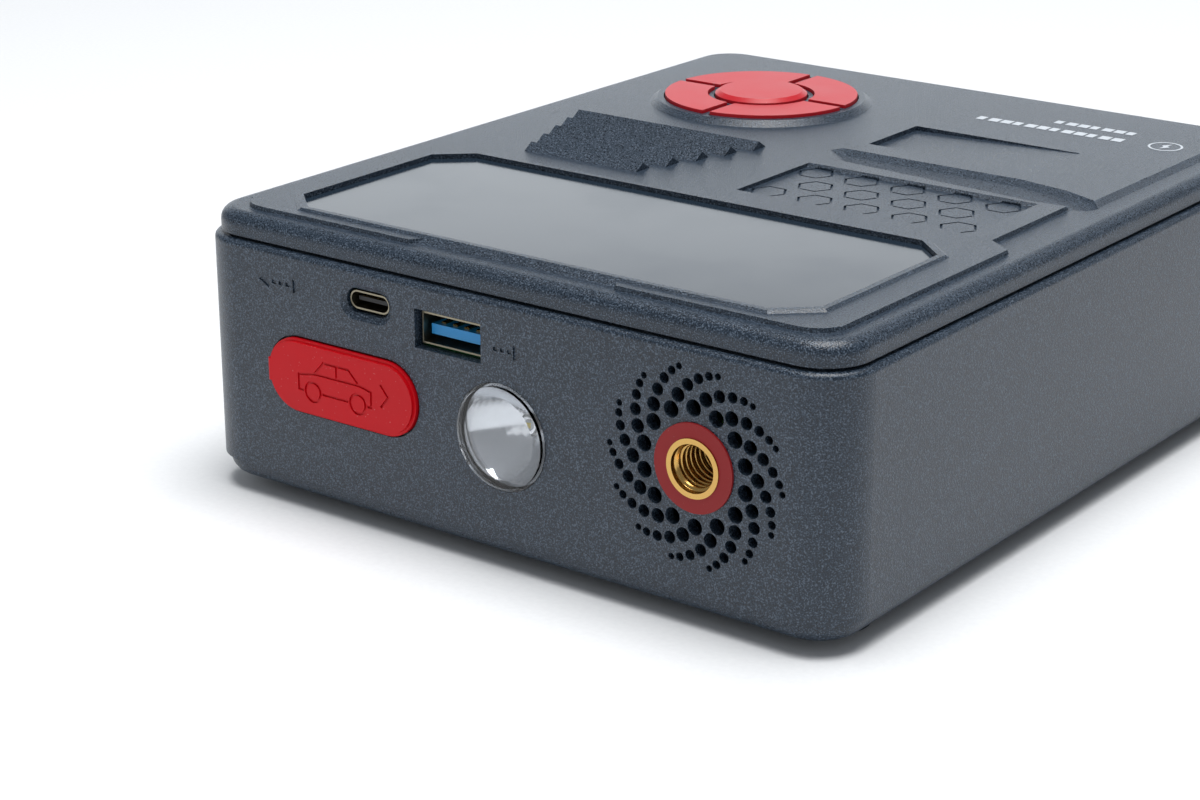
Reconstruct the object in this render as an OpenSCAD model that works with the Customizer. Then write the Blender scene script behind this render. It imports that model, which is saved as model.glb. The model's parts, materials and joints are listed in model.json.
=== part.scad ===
/* [Case] */
// Width of the case, left to right
body_w = 136; // [130:1:170]
// Depth of the case, front to back
body_d = 163; // [155:1:205]
// Height of the line between the case body and the top cover
seam_z = 47.6; // [47:0.2:56]
// Height of the line between the case body and the base cover
base_z = 5.9; // [5.6:0.1:7]
// Corner radius of the case seen from above
corner_r = 9.5; // [9:0.5:14]
// Wall thickness of the case
wall = 2.2; // [2:0.1:2.6]
// Radius with which the base cover curves under
under_r = 3.4; // [2.5:0.1:3.6]
// Step from the case body in to the base cover
base_step = 0.9; // [0.5:0.1:1.2]
// Height of a rubber foot below the base cover
foot_h = 2; // [1.5:0.1:3]
// Radius of a rubber foot
foot_r = 6; // [4:0.5:7]

/* [Top cover] */
// How far the top cover stands in from the case body
cover_in = 1.2; // [0.8:0.1:1.6]
// Open gap at the seam
seam_gap = 0.6; // [0.4:0.1:1]
// Height of the rim above the seam line
rim_h = 4.3; // [4:0.1:6]
// Radius of the rim's outer edge
rim_r = 2.4; // [1.5:0.1:3]
// Height of the raised panel above the rim
panel_h = 0.7; // [0.4:0.1:1]
// Height of the display frame above the rim
bezel_h = 1.1; // [0.8:0.1:1.4]

/* [Display] */
// Width of the display window
window_w = 109; // [90:1:115]
// Depth of the display window, front to back
window_d = 45.9; // [36:0.5:50]
// Distance of the window from the front of the case
window_in = 9.2; // [9:0.2:14]
// Depth of the window below its frame
window_sink = 0.9; // [0.5:0.1:1.2]
// Thickness of the window
window_t = 1.5; // [1:0.1:2]

/* [Keys] */
// Outer radius of the ring of keys
keys_r = 19.4; // [17:0.1:20.5]
// Radius of the middle key
key_mid_r = 9.3; // [8:0.1:10]
// Gap between two keys
key_gap = 1.5; // [1.2:0.1:2]
// Height of the ring keys above the raised panel
key_h = 1.7; // [1:0.1:2.4]
// How far a key travels
key_travel = 0.6; // [0.4:0.1:0.6]

/* [Ports] */
// Length of the rubber port cover
flap_l = 34; // [32:0.5:36]
// Height of the rubber port cover
flap_h = 13.4; // [12:0.2:14]
// Radius of the torch lens
lens_r = 9.4; // [8:0.1:10]
// Outer radius of the red ring round the air outlet
ring_r = 7.5; // [7:0.1:8]
// Outer radius of the brass air fitting
fitting_r = 5; // [4.8:0.1:5.4]
// Radius of the fitting's threaded bore
thread_r = 4.1; // [3.8:0.1:4.2]
// Depth of the fitting's threaded bore
thread_l = 12; // [8:0.5:13]

/* [Vent] */
// Arms in the vent's spiral
vent_arms = 14; // [10:1:14]
// Holes in each arm
vent_steps = 6; // [3:1:6]
// Diameter of the holes nearest the outlet
vent_d = 2.85; // [2.2:0.05:2.9]

/* [Compressor] */
// Bore radius of the cylinder
bore_r = 9; // [8:0.2:9.4]
// Crank radius, half the piston's stroke
crank_r = 7; // [5:0.5:7.5]
// Length of the connecting rod between its eyes
rod_l = 30; // [28:0.5:32]
// Radius of the motor
motor_r = 17; // [14:0.5:17]
// Length of the motor's can
motor_l = 50; // [40:1:52]
// Tooth size (module) of the two gears
tooth_m = 0.8; // [0.7:0.05:0.8]
// Teeth on the crank gear
gear_teeth = 45; // [36:1:45]
// Teeth on the motor pinion
pinion_teeth = 12; // [10:1:14]

/* [Battery] */
// Width of a battery cell
cell_w = 36; // [30:1:37]
// Length of a battery cell
cell_l = 110; // [90:1:112]
// Thickness of a battery cell
cell_t = 7.5; // [6:0.1:8]

/* [Hidden] */
$fn = 48;

charcoal = "#3c424a";
red = "#b4232d";
steel = "#b9bdc2";
brass = "#c79a45";
board_green = "#1f6b45";

front = -body_d / 2;
clear = 0.3;
fit = 0.02;

// Levels of the case
floor_z = foot_h + wall;
case_top = seam_z - seam_gap / 2;
rim_z = seam_z + rim_h;
panel_z = rim_z + panel_h;
bezel_z = rim_z + bezel_h;
roof_z = rim_z - rim_r;
lip_in = max(wall + clear + 1.4, base_step + under_r);

// Corner screws and bosses
screw_in = 8;
screw_r = 1.5;
boss_r = 4.4;
rib_r = 6.2;
boss_slim_r = 3.4;
case_boss_z0 = base_z + 2.5;
case_boss_z1 = seam_z - 6;

// Display window
window_y = front + window_in + window_d / 2;
window_cut_x = 6.3;
window_cut_y = 5.6;
window_z1 = bezel_z - window_sink;
window_z0 = window_z1 - window_t;

// Raised panel: front block, waist and rear block
panel_x = body_w / 2 - 5.8;
waist_x = body_w / 2 - 10.7;
waist_y0 = front + 62;
waist_y1 = front + 90;
tab_end = body_w / 2 - 47.2;

// Keys
key_x = -body_w / 2 + 37.8;
key_y = front + 123.3;
key_z1 = panel_z + key_h;
key_flange_z0 = roof_z - 1.1;
key_flange_h = 0.8;
key_slot = 0.3;
plinth_r = keys_r + 3;
plinth_h = 1.1;

// Grip ribs, comb pocket and name plate on the panel
rib_y = front + 65.3;
rib_pitch = 6.4;
rib_count = 5;
rib_half = 13.1;
rib_grow = 2.1;
pocket_x0 = body_w / 2 - 63.6;
pocket_x1 = body_w / 2 - 15.8;
pocket_y0 = front + 64.3;
pocket_y1 = front + 87.3;
hex_r = 3.6;
hex_line = 0.5;
hex_pitch = 9.75;
hex_row = 7.8;

// Control board under the top cover
ctrl_z1 = roof_z - 3;
ctrl_t = 1.6;
ctrl_y0 = front + 12;
ctrl_y1 = front + 147;
ctrl_x = body_w / 2 - 14;
post_x = ctrl_x - 4;
post_y = [front + 60, front + 144];

// Ports on the front
usb_c_x = -body_w / 2 + 40.7;
usb_c_z = seam_z - 6.1;
usb_a_x = -body_w / 2 + 58.8;
usb_a_z = seam_z - 8.2;
flap_x = -body_w / 2 + 34.95;
flap_z = 25.6;
flap_out = 1;
flap_sink = 1.3;
anchor_x = flap_x - flap_l / 2 + 1.1;
lens_x = -body_w / 2 + 69.95;
lens_z = 23.9;
outlet_x = body_w / 2 - 26.9;
outlet_z = 27.6;

// Main board, below the two USB ports
main_z1 = usb_a_z - 2.8;
main_t = 1.6;
main_x0 = -body_w / 2 + 15;
main_x1 = lens_x + 15.5;
main_y0 = front + 3;
main_y1 = front + 30;

// Compressor: the crank turns about X, the piston runs along Y
crank_y = front + 98;
bush_h = 3;
tab_t = 2;
cyl_x = outlet_x + 6;
cyl_r = bore_r + 2;
crank_z = floor_z + max(1.62 + tooth_m * (gear_teeth / 2 + 0.85), bush_h + tab_t + 2.3 + cyl_r);
plate_t = 2.5;
plate_x1 = cyl_x - cyl_r;
plate_x0 = plate_x1 - plate_t;
gear_x0 = plate_x1 + 1.8;
gear_t = 5;
rod_w = 4;
axle_r = 2;
pin_r = 2.4;
gear_dist = tooth_m * (gear_teeth + pinion_teeth) / 2;
motor_z = floor_z + 1 + motor_r;
motor_y = crank_y + sqrt(gear_dist * gear_dist - (motor_z - crank_z) * (motor_z - crank_z));
mesh_angle = atan2(motor_z - crank_z, motor_y - crank_y);
crank_pin_y = crank_y - crank_r;
wrist_y = crank_pin_y - rod_l;
crown_y = wrist_y - 7;
cyl_y0 = crown_y - 0.5;
cyl_y1 = crank_y - tooth_m * (gear_teeth / 2 + 1) - 1.2;
head_t = 7;
head_y0 = cyl_y0 - head_t;
nipple_l = 8;
sensor_y = head_y0 + 3;
sensor_z = crank_z + cyl_r + 1;
foot_tabs = [cyl_y0 + 6, motor_y + motor_r + 7];

// Battery
tray_t = 1.2;
pack_x = -body_w / 2 + lip_in + clear + tray_t + 0.3 + cell_w / 2;
pack_y = front + 35 + cell_l / 2;
pack_z = floor_z + tray_t;
cell_gap = 0.8;

// Plain shapes ------------------------------------------------------------
module rrect(w, d, r) {
    square([w - 2 * r, d], center = true);
    square([w, d - 2 * r], center = true);
    for (x = [-1, 1], y = [-1, 1]) translate([x * (w / 2 - r), y * (d / 2 - r)]) circle(r);
}

// Carries an outline round a rectangle: x is measured out from the corners' centres
module ring_sweep(w, d, r) {
    for (q = [0:3]) {
        a = q % 2 == 0 ? w : d;
        b = q % 2 == 0 ? d : w;
        rotate(q * 90) translate([a / 2 - r, b / 2 - r, 0]) {
            rotate_extrude(angle = 90) children();
            rotate([90, 0, 0]) linear_extrude(b - 2 * r) children();
        }
    }
}

// A raised plate with a sloped edge; each point is x, y and corner radius
module raised(points, z0, z1, slope) {
    hull() for (p = points)
        translate([p[0], p[1], z0]) cylinder(h = z1 - z0, r1 = p[2], r2 = p[2] - slope, $fn = 32);
}

module pill(l, h) {
    square([l - h, h], center = true);
    for (x = [-1, 1]) translate([x * (l - h) / 2, 0]) circle(h / 2);
}

// Turns a flat outline so that it faces the front, from y0 inwards by depth
module on_front(x, z, y0, depth) {
    translate([x, y0 + depth, z]) rotate([90, 0, 0]) linear_extrude(depth) children();
}

module y_rod(x, y0, y1, z, r) {
    translate([x, y0, z]) rotate([-90, 0, 0]) cylinder(h = y1 - y0, r = r);
}

module x_rod(x0, x1, y, z, r) {
    translate([x0, y, z]) rotate([0, 90, 0]) cylinder(h = x1 - x0, r = r);
}

module z_rod(x, y, z0, z1, r) {
    translate([x, y, z0]) cylinder(h = z1 - z0, r = r);
}

module block(x0, x1, y0, y1, z0, z1) {
    translate([x0, y0, z0]) cube([x1 - x0, y1 - y0, z1 - z0]);
}

module at_corners(inset) {
    for (x = [-1, 1], y = [-1, 1])
        translate([x * (body_w / 2 - inset), y * (body_d / 2 - inset), 0]) children();
}

function window_outline(grow) = let (
        w = window_w / 2 + grow, d = window_d / 2 + grow,
        cx = window_cut_x + grow * 0.4, cy = window_cut_y + grow * 0.4)
    [[-w, -d + cy], [-w + cx, -d], [w - cx, -d], [w, -d + cy],
     [w, d - cy], [w - cx, d], [-w + cx, d], [-w, d - cy]];

// A round wire or hose swept along points; up is any direction the route never takes
function unit(v) = v / norm(v);
function tangent(p, i) = unit(p[min(i + 1, len(p) - 1)] - p[max(i - 1, 0)]);
function ring_at(p, i, r, n, up) = let (t = tangent(p, i), s = unit(cross(t, up)), u = cross(t, s))
    [for (k = [0:n - 1]) p[i] + r * (s * cos(k * 360 / n) + u * sin(k * 360 / n))];
module wire(p, r, n, up) {
    last = (len(p) - 1) * n;
    polyhedron(
        points = [for (i = [0:len(p) - 1]) each ring_at(p, i, r, n, up)],
        faces = concat(
            [[for (k = [0:n - 1]) k]],
            [for (i = [0:len(p) - 2], k = [0:n - 1])
                [i * n + k, (i + 1) * n + k, (i + 1) * n + (k + 1) % n, i * n + (k + 1) % n]],
            [[for (k = [n - 1:-1:0]) last + k]]));
}

// A smooth curve between two points that leaves and arrives along given directions
function bend(a, da, b, db, n) = [for (i = [0:n]) let (t = i / n, s = 1 - t)
    s * s * s * a + 3 * s * s * t * (a + da) + 3 * s * t * t * (b - db) + t * t * t * b];

// The same with a short straight stretch at each end, so that both ends are cut square
function route(a, da, b, db, n) =
    concat([a], bend(a + unit(da) * 0.6, da, b - unit(db) * 0.6, db, n), [b]);

// Involute gear outline; teeth are thinned for backlash
function inv_r(rb, t) = rb * sqrt(1 + t * t);
function inv_a(t) = t * 180 / PI - atan(t);
function tooth_half(teeth) = 90 / teeth * 0.9 + inv_a(tan(20));
function gear_flank(teeth, m, tip) = let (
        rb = m * teeth / 2 * cos(20),
        t1 = sqrt(tip * tip / rb / rb - 1))
    [for (i = [0:4]) let (t = t1 * i / 4) [inv_r(rb, t), tooth_half(teeth) - inv_a(t)]];
function gear_outline(teeth, m) = let (
        rp = m * teeth / 2, tip = rp + m * 0.85, root = rp - m * 1.15,
        flank = [for (f = gear_flank(teeth, m, tip)) if (f[0] > root) f],
        foot_a = min(flank[0][1], 180 / teeth - 0.3))
    [for (k = [0:teeth - 1]) let (c = k * 360 / teeth)
        each concat(
            [[root * cos(c - foot_a), root * sin(c - foot_a)]],
            [for (f = flank) [f[0] * cos(c - f[1]), f[0] * sin(c - f[1])]],
            [for (i = [len(flank) - 1:-1:0]) let (f = flank[i]) [f[0] * cos(c + f[1]), f[0] * sin(c + f[1])]],
            [[root * cos(c + foot_a), root * sin(c + foot_a)]])];

// Case --------------------------------------------------------------------
module case_wall_profile() {
    edge = 1;
    translate([corner_r - wall, base_z]) square([wall, case_top - edge - base_z]);
    translate([corner_r - wall, case_top - edge]) square([wall - edge, edge]);
    translate([corner_r - edge, case_top - edge]) circle(edge);
}

// The vent's arms wind in as quadratic curves of radius, angle and hole size
module vent_holes() {
    for (a = [0:vent_arms - 1], i = [0:vent_steps - 1]) {
        radius = 9.94 + 2.2 * i - 0.174 * i * i;
        angle = a * 360 / vent_arms - 11.57 - 12 * i + 0.72 * i * i;
        y_rod(outlet_x + radius * cos(angle), front - 1, front + wall + 1,
            outlet_z + radius * sin(angle), (vent_d - 0.34 * i) / 2);
    }
}

module usb_c_bevel() {
    reach = 1.1;
    half = 2.6;
    for (x = [-half, half])
        translate([usb_c_x + x, front - 0.01, usb_c_z])
            rotate([-90, 0, 0]) cylinder(h = 0.7, r1 = 2.2 + reach, r2 = 2.2);
    translate([usb_c_x - half, front - 0.01, usb_c_z]) rotate([90, 0, 90]) linear_extrude(2 * half)
        polygon([[0, -2.2 - reach], [0.7, -2.2], [0.7, 2.2], [0, 2.2 + reach]]);
}

// An arrow with a broken shaft, for power out, and one with two heads, for power in and out
module arrow_mark() {
    for (i = [0:2]) translate([-3.4 + i * 1.5, -0.35]) square([0.9, 0.7]);
    translate([2, 0]) polygon([[-1.2, -1.3], [1.3, 0], [-1.2, 1.3]]);
}

module two_way_mark() {
    for (i = [-1:1]) translate([i * 1.6 - 0.5, -0.35]) square([1, 0.7]);
    for (a = [0, 180]) rotate(a) translate([4, 0]) polygon([[-1.2, -1.3], [1.3, 0], [-1.2, 1.3]]);
}

// Corner screw posts: ribs tie the case's posts to its walls
module corner_post() {
    h = case_boss_z1 - case_boss_z0;
    translate([0, 0, case_boss_z0]) {
        cylinder(h = h, r = boss_r);
        translate([-rib_r, -0.8, 0]) cube([2 * rib_r, 1.6, h]);
        translate([-0.8, -rib_r, 0]) cube([1.6, 2 * rib_r, h]);
    }
}

module case_body() {
    color(charcoal) difference() {
        union() {
            ring_sweep(body_w, body_d, corner_r) case_wall_profile();
            at_corners(screw_in) corner_post();
        }
        at_corners(screw_in) cylinder(h = seam_z, r = screw_r + 0.2);
        vent_holes();
        y_rod(outlet_x, front - 1, front + wall + 1, outlet_z, ring_r + 0.05);
        y_rod(lens_x, front - 1, front + wall + 1, lens_z, lens_r + 0.1);
        on_front(flap_x, flap_z, front - 1, flap_sink + 1) pill(flap_l + 0.7, flap_h + 0.7);
        on_front(flap_x + 0.5, flap_z, front - 1, wall + 2) pill(flap_l - 6.4, flap_h - 3.6);
        on_front(anchor_x, flap_z, front, wall + 1) square([1.2, 3.4], center = true);
        on_front(usb_c_x, usb_c_z, front - 1, wall + 2) pill(9.6, 4.4);
        usb_c_bevel();
        on_front(usb_a_x, usb_a_z, front - 1, wall + 2) square([14.3, 6.9], center = true);
        on_front(usb_c_x - 19.6, usb_c_z, front - 1, 1.25) two_way_mark();
        on_front(usb_a_x + 13.2, usb_a_z - 0.2, front - 1, 1.25) arrow_mark();
    }
}

module base_profile() {
    r = corner_r - base_step;
    translate([0, foot_h]) square([r - under_r, wall]);
    translate([r - under_r, foot_h + under_r]) square([under_r, base_z - foot_h - under_r]);
    intersection() {
        translate([r - under_r, foot_h + under_r]) circle(under_r);
        translate([r - under_r, foot_h]) square(under_r);
    }
}

module main_posts() {
    for (x = [main_x0 + 3, main_x1 - 3], y = [main_y0 + 7, main_y1 - 4]) translate([x, y, 0]) children();
}

module frame_feet() {
    for (x = [plate_x0 - 8, plate_x1 + 10], y = foot_tabs) translate([x, y, 0]) children();
}

module base_cover() {
    inner_r = corner_r - wall - clear;
    color(charcoal) difference() {
        union() {
            translate([0, 0, foot_h]) linear_extrude(wall)
                square([body_w - 2 * corner_r, body_d - 2 * corner_r], center = true);
            ring_sweep(body_w - 2 * base_step, body_d - 2 * base_step, corner_r - base_step) base_profile();
            ring_sweep(body_w, body_d, corner_r)
                translate([inner_r - 1.4, floor_z - 0.5]) square([1.4, base_z + 1.8 - floor_z]);
            at_corners(screw_in) {
                z_rod(0, 0, foot_h + 0.6, base_z, boss_r);
                z_rod(0, 0, base_z - 1, case_boss_z0, boss_slim_r);
            }
            main_posts() z_rod(0, 0, floor_z - 0.5, main_z1 - main_t, 2.5);
            frame_feet() z_rod(0, 0, foot_h + 0.5, floor_z + 0.5, 5);
        }
        at_corners(screw_in) cylinder(h = foot_h + 2.4, r = 3.1);
        at_corners(screw_in) cylinder(h = seam_z, r = screw_r + 0.2);
        main_posts() translate([0, 0, main_z1 - main_t - 6]) cylinder(h = 7, r = 1 + fit);
        frame_feet() translate([0, 0, foot_h + 0.8]) cylinder(h = 4, r = screw_r + fit);
    }
}

module rubber_feet() {
    color("#15171a") for (x = [-1, 1], y = [-1, 1])
        translate([x * (body_w / 2 - 10.5), y * (body_d / 2 - 17), 0]) {
            cylinder(h = foot_h - 0.4, r1 = foot_r - 0.5, r2 = foot_r);
            translate([0, 0, foot_h - 0.4]) cylinder(h = 0.4, r = foot_r);
        }
}

module case_screws() {
    color(steel) at_corners(screw_in) {
        translate([0, 0, foot_h + 0.6]) difference() {
            cylinder(h = 1.8, r = 2.8);
            translate([0, 0, -1]) cylinder(h = 2.2, r = 1.4, $fn = 6);
        }
        translate([0, 0, foot_h + 2.4]) cylinder(h = case_boss_z1 - foot_h + 3.2, r = screw_r);
    }
}

// Top cover ---------------------------------------------------------------
module top_profile() {
    r = corner_r - cover_in;
    skirt_z = seam_z + seam_gap / 2;
    translate([r - wall, skirt_z]) square([wall, roof_z - skirt_z]);
    translate([0, roof_z]) square([r - rim_r, rim_r]);
    intersection() {
        translate([r - rim_r, roof_z]) circle(rim_r);
        translate([r - rim_r, roof_z]) square(rim_r);
    }
    translate([corner_r - wall - clear - 1.4, seam_z - 3]) square([1.4, roof_z - seam_z + 3.4]);
}

module panel_plates() {
    s = 0.4;
    sharp = s + 0.05;
    low = rim_z - 0.4;
    near = front + 4.9;
    raised([for (x = [-1, 1]) each [
        [x * (panel_x - sharp), front + 9, sharp],
        [x * (panel_x - sharp), waist_y0 - 2, sharp],
        [x * (waist_x - sharp), waist_y0 + 1.5, sharp]]], low, panel_z, s);
    for (x = [-1, 1])
        raised([
            [x * (panel_x - 6), near + 6, 6],
            [x * (tab_end + 1), near + sharp, sharp],
            [x * (tab_end - 1), near + 3, sharp],
            [x * (tab_end - 1), near + 12, sharp],
            [x * (panel_x - sharp), near + 12, sharp]], low, panel_z, s);
    raised([for (x = [-1, 1], y = [waist_y0 - 1, waist_y1 + 1]) [x * (waist_x - sharp), y, sharp]],
        low, panel_z, s);
    raised([for (x = [-1, 1]) each [
        [x * (waist_x - 3), waist_y1 - 0.5, 3],
        [x * (panel_x - 3.5), waist_y1 + 4, 3],
        [x * (panel_x - 9), -front - 14, 9]]], low, panel_z, 2.6);
    bezel_plate();
}

module bezel_plate() {
    hull() {
        translate([0, window_y, rim_z - 0.4]) linear_extrude(0.01) polygon(window_outline(3.4));
        translate([0, window_y, bezel_z - 0.01]) linear_extrude(0.01) polygon(window_outline(1.2));
    }
}

module grip_ribs(z, w, h, shrink, rows, shift) {
    for (i = [0:rows - 1])
        translate([key_x - rib_half - rib_grow * i + shrink, rib_y + rib_pitch * (i + shift), z])
            rotate([90, 0, 90]) linear_extrude(2 * (rib_half + rib_grow * i - shrink))
                polygon([[-w / 2, 0], [w / 2, 0], [0, h]]);
}

module hex_lines() {
    rows = [[5, 0], [4, hex_pitch / 2], [5, 0]];
    for (j = [0:2], i = [0:rows[j][0] - 1])
        translate([pocket_x0 + hex_r + 0.3 + rows[j][1] + i * hex_pitch, pocket_y0 + 4.6 + j * hex_row, 0])
            difference() {
                circle(hex_r, $fn = 6);
                circle(hex_r - hex_line, $fn = 6);
            }
}

// A trough with two slopes on its far side, open at the panel's edge
module swoosh_channel() {
    x = body_w / 2 - 68;
    module layer(z, points) {
        translate([x, front, z]) linear_extrude(0.1) polygon(points);
    }
    hull() {
        layer(panel_z + 0.1, [[2.2, 98.3], [3.4, 101.2], [42, 101.2], [52, 99.2],
            [61, 95.2], [58, 89.8], [50, 89], [6.8, 92.8]]);
        layer(panel_z - 0.8, [[5.4, 97.4], [6, 98.6], [42, 98.6], [51, 96.8], [61, 93.8]]);
        layer(panel_z - 1.25, [[8, 95], [42, 93.8], [52, 92.6], [61, 91.8], [58, 90.4], [50, 90], [9, 94]]);
    }
}

module key_sector(inner, outer, gap) {
    difference() {
        circle(outer);
        circle(inner);
        for (a = [45, 135]) rotate(a) square([gap, 3 * outer], center = true);
    }
}

module key_openings(grow) {
    circle(key_mid_r + grow);
    rotate(45) key_sector(key_mid_r + key_gap - grow, keys_r + grow, key_gap + 0.3 - 2 * grow);
}

module top_cover() {
    color(charcoal) difference() {
        union() {
            ring_sweep(body_w - 2 * cover_in, body_d - 2 * cover_in, corner_r - cover_in) top_profile();
            translate([0, 0, roof_z]) linear_extrude(rim_r)
                square([body_w - 2 * corner_r, body_d - 2 * corner_r], center = true);
            panel_plates();
            translate([key_x, key_y, panel_z - 0.2])
                cylinder(h = plinth_h + 0.2, r1 = plinth_r + 0.3, r2 = plinth_r - 1.5, $fn = 96);
            grip_ribs(panel_z - 0.2, 4.9, 1.6, 0, rib_count, 0);
            at_corners(screw_in) z_rod(0, 0, case_boss_z1, roof_z + 0.5, boss_slim_r);
            for (x = [-post_x, post_x], y = post_y) z_rod(x, y, ctrl_z1, roof_z + 0.5, 2.5);
        }
        translate([0, window_y, window_z0]) linear_extrude(5) polygon(window_outline(0.15));
        translate([0, window_y, 0]) linear_extrude(seam_z * 2) polygon(window_outline(-3));
        translate([key_x, key_y, 0]) linear_extrude(seam_z * 2) key_openings(key_slot);
        block(pocket_x0, pocket_x1, pocket_y0, pocket_y1, rim_z, rim_z + 4);
        translate([pocket_x0, pocket_y1, rim_z]) rotate([90, 0, 90]) linear_extrude(pocket_x1 - pocket_x0)
            polygon([[-0.5, 0], [0, 0], [1.1, 1], [-0.5, 1]]);
        translate([0, 0, rim_z - 0.35]) linear_extrude(1) hex_lines();
        swoosh_channel();
        translate([body_w / 2 - 62.1, front + 106.5, rim_z - 0.2]) rotate([0, -1.3, 0]) cube([35.5, 17.5, 4]);
        grip_ribs(panel_z + 0.01, 2.2, -0.6, 0.6, rib_count - 1, 0.5);
        at_corners(screw_in) z_rod(0, 0, case_boss_z1 - 1, case_boss_z1 + 7, screw_r + fit);
        for (x = [-post_x, post_x], y = post_y) z_rod(x, y, ctrl_z1 - 1, ctrl_z1 + 3, 1 + fit);
    }
}

module display_window() {
    color("#5d6873") translate([0, window_y, window_z0]) linear_extrude(window_t) polygon(window_outline(0));
}

module display_module() {
    w = window_w - 12;
    d = window_d - 12;
    color("#20262c") block(-w / 2, w / 2, window_y - d / 2, window_y + d / 2, ctrl_z1, window_z0 - 0.2);
}

module display_ribbon() {
    color("#b5763a") block(main_x0 + 24, main_x0 + 36, main_y1 - 5, main_y1 - 4.7, main_z1, ctrl_z1 - ctrl_t);
}

module control_board() {
    color(board_green) difference() {
        block(-ctrl_x, ctrl_x, ctrl_y0, ctrl_y1, ctrl_z1 - ctrl_t, ctrl_z1);
        for (x = [-post_x, post_x], y = post_y) z_rod(x, y, 0, seam_z * 2, 1.2);
    }
}

module control_screws() {
    color(steel) for (x = [-post_x, post_x], y = post_y) {
        z_rod(x, y, ctrl_z1 - ctrl_t, ctrl_z1 + 2.8, 1);
        z_rod(x, y, ctrl_z1 - ctrl_t - 1.2, ctrl_z1 - ctrl_t, 1.9);
    }
}

// Keys --------------------------------------------------------------------
dome_z = ctrl_z1 + 0.9;
key_spots = [[0, 0], for (a = [45:90:315]) [cos(a), sin(a)]];

module key_mat() {
    mid = (key_mid_r + key_gap + keys_r) / 2;
    color("#2a2c30") {
        translate([key_x, key_y, ctrl_z1]) linear_extrude(0.5) circle(keys_r + 2);
        for (s = key_spots)
            translate([key_x + s[0] * mid, key_y + s[1] * mid, ctrl_z1 + 0.4])
                cylinder(h = 0.5, r1 = 3, r2 = 2.2);
    }
}

module key_power() {
    crown = 0.7;
    color(red) translate([key_x, key_y, 0]) {
        translate([0, 0, key_flange_z0]) cylinder(h = key_flange_h, r = key_mid_r + 0.5);
        translate([0, 0, key_flange_z0]) cylinder(h = key_z1 - key_flange_z0, r = key_mid_r);
        translate([0, 0, key_z1]) cylinder(h = crown, r1 = key_mid_r, r2 = key_mid_r - 1);
    }
}

// One quarter of the ring; turn 0 faces the front
module ring_key(turn) {
    color(red) translate([key_x, key_y, 0]) rotate(turn) intersection() {
        union() {
            translate([0, 0, key_flange_z0]) linear_extrude(key_flange_h)
                key_sector(key_mid_r + key_gap - 0.4, keys_r + 1, key_gap + 0.1);
            translate([0, 0, key_flange_z0]) linear_extrude(key_z1 - key_flange_z0)
                key_sector(key_mid_r + key_gap, keys_r, key_gap + 0.3);
        }
        rotate(-90) translate([0, 0, -1]) linear_extrude(seam_z * 2) polygon([[0, 0], [60, 60], [60, -60]]);
    }
}

module key_front_right() { ring_key(45); }
module key_back_right() { ring_key(135); }
module key_back_left() { ring_key(225); }
module key_front_left() { ring_key(315); }

// Front ports -------------------------------------------------------------
module stroke(a, b) {
    w = 0.45;
    translate(a) rotate(atan2(b[1] - a[1], b[0] - a[0]))
        translate([-w / 2, -w / 2]) square([norm(b - a) + w, w]);
}

// A saloon car seen from the side, and an arrow head
module car_mark() {
    body = [[-8.5, -2.6], [-8.5, 0.1], [-4.8, 0.8], [-2.6, 3.2],
        [3.2, 3.2], [5.6, 0.8], [8.3, 0.2], [8.3, -2.6]];
    sill = [[-8.5, -2.6], [-7.6, -2.6], [-2.8, -2.6], [2.8, -2.6], [7.6, -2.6], [8.3, -2.6]];
    for (i = [0:len(body) - 2]) stroke(body[i], body[i + 1]);
    for (i = [0:2:4]) stroke(sill[i], sill[i + 1]);
    stroke([-4.8, 0.8], [5.6, 0.8]);
    stroke([0.4, 0.8], [0.4, 3.2]);
    for (x = [-5.2, 5.2]) translate([x, -2.6]) difference() {
        circle(2);
        circle(1.5);
    }
    for (s = [-1, 1]) stroke([12.2, 0], [10.6, 1.9 * s]);
}

module port_cover() {
    edge = 0.9;
    hinge_x = flap_x - flap_l / 2 + 0.6;
    color(red) {
        difference() {
            union() {
                on_front(flap_x, flap_z, front - flap_out, edge) pill(flap_l - 1.2 * edge, flap_h - 1.2 * edge);
                on_front(flap_x, flap_z, front - flap_out + 0.5, flap_out + 0.3) pill(flap_l, flap_h);
            }
            on_front(flap_x - 1, flap_z + 0.4, front - flap_out - 1, 1.3) car_mark();
        }
        on_front(flap_x + 1.2, flap_z, front + 0.7, 3.8) pill(flap_l - 9.4, flap_h - 4.6);
        z_rod(hinge_x, front - flap_out + 0.6, flap_z - 2, flap_z + 2, 0.6);
    }
}

module cover_anchor() {
    color(red) {
        on_front(anchor_x, flap_z, front + flap_sink, wall - flap_sink) square([1.1, 3.3], center = true);
        block(anchor_x - 0.9, anchor_x + 0.9, front + wall, front + wall + 1.2, flap_z - 2.8, flap_z + 2.8);
    }
}

jump_x = [flap_x - 6, flap_x + 6];
jump_y0 = front + 5.2;
jump_y1 = front + 23;

module jump_socket() {
    color("#1d2a4d") difference() {
        union() {
            on_front(flap_x, flap_z, jump_y0, jump_y1 - jump_y0) pill(27, 12);
            on_front(flap_x + 0.5, flap_z, front + wall, jump_y0 + 1 - front - wall) difference() {
                pill(flap_l - 3.6, flap_h - 0.8);
                pill(flap_l - 6.4, flap_h - 3.6);
            }
        }
        for (x = jump_x) y_rod(x, jump_y0 - 1, jump_y1 + 1, flap_z, 3.6);
    }
}

module jump_contacts() {
    color(brass) for (x = jump_x) difference() {
        y_rod(x, jump_y0 + 1, jump_y1 + 2, flap_z, 3.6);
        y_rod(x, jump_y0, jump_y1 - 3, flap_z, 2.6);
    }
}

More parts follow.
